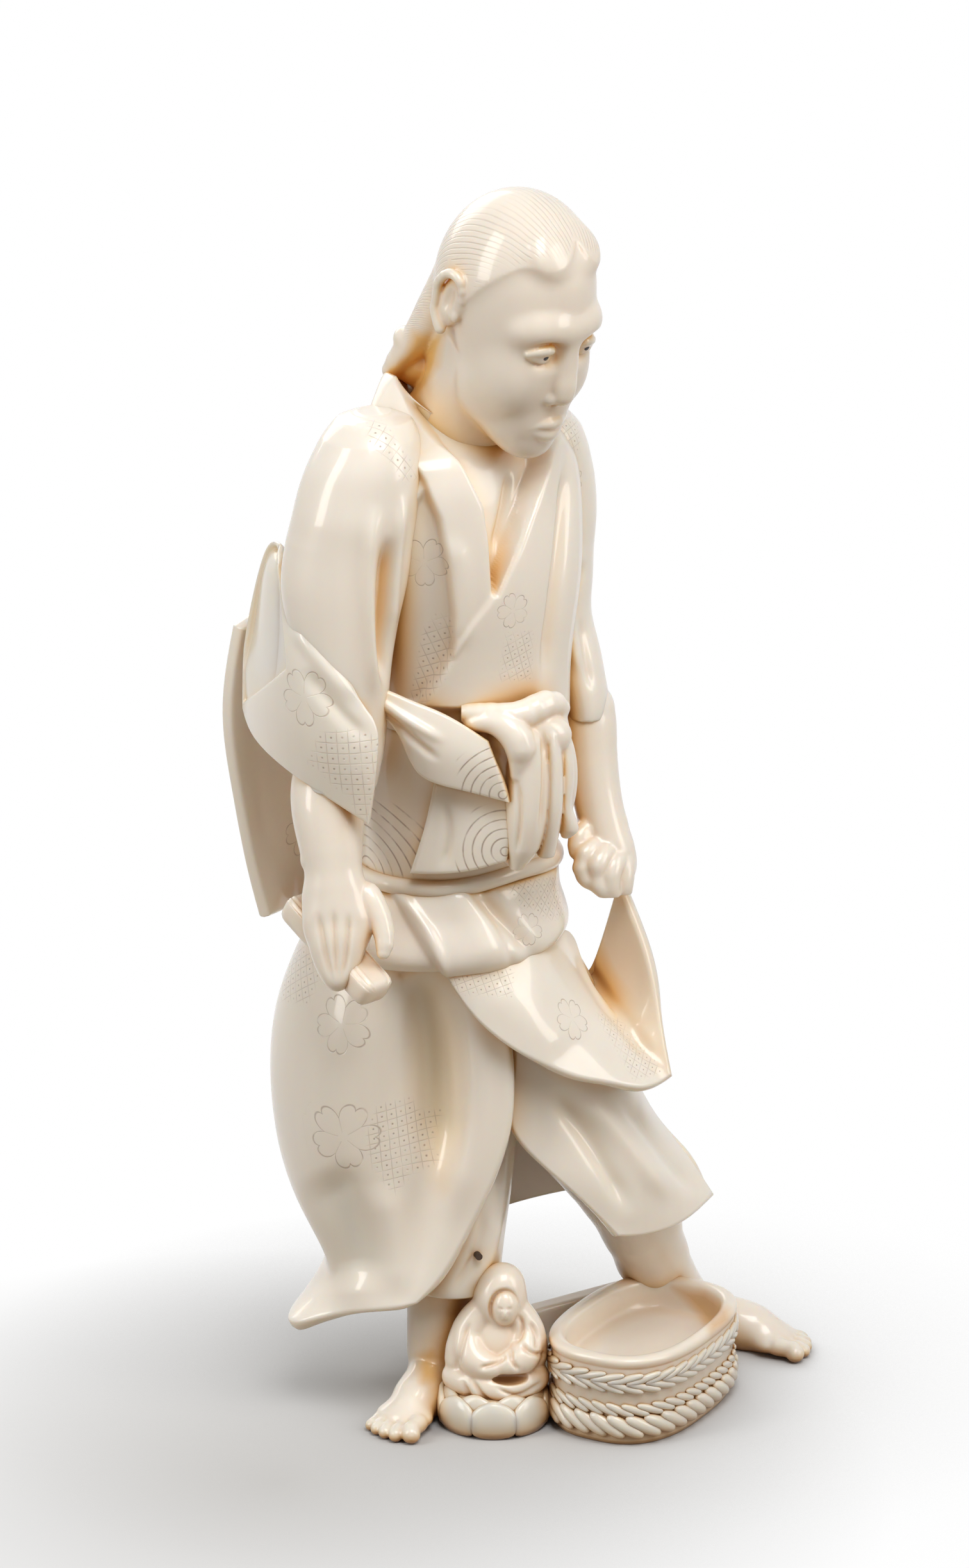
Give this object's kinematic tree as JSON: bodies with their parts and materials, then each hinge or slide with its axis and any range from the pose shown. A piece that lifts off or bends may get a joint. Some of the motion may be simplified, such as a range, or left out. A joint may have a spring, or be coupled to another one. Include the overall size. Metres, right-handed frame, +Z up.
{
  "type": "okimono carving",
  "caption": "Ivory okimono: barefoot figure in an engraved robe with a tied sash, lifting its hem, beside an oval tub and a small seated figure on a lotus.",
  "frame": {"origin": "centre of the bounding box at the surface that the carving stands on", "axes": "+Z up; -Y towards the viewer of the pictured side; +X to that viewer's right"},
  "size_m": [0.087, 0.0508, 0.1791],
  "materials": {
    "ivory": "polished",
    "dark_horn": "polished",
    "peg_wood": "bare"
  },
  "bodies": {
    "root": {"head": "ivory", "pupil_inlays": "dark_horn", "torso": "ivory", "right_sleeve": "ivory", "sleeve_drape": "ivory", "left_sleeve": "ivory", "right_forearm": "ivory", "left_forearm": "ivory", "closed_fan": "ivory", "obi": "ivory", "obi_cord": "ivory", "obi_knot": "ivory", "obi_upper_tail": "ivory", "obi_lower_tail": "ivory", "obi_back_panel": "ivory", "hip_fold": "ivory", "hip_block": "ivory", "outer_robe": "ivory", "lifted_panel": "ivory", "under_robe": "ivory", "inner_robe": "ivory", "right_leg": "ivory", "left_leg": "ivory", "tub": "ivory", "lotus_pedestal": "ivory", "seated_figure": "ivory", "rear_board": "ivory", "waist_peg": "peg_wood", "hip_peg": "peg_wood", "neck_peg": "peg_wood", "shoulder_pegs": "peg_wood", "wrist_pegs": "peg_wood", "leg_pegs": "peg_wood", "seated_peg": "peg_wood", "shin_pin": "ivory"}
  },
  "joints": []
}
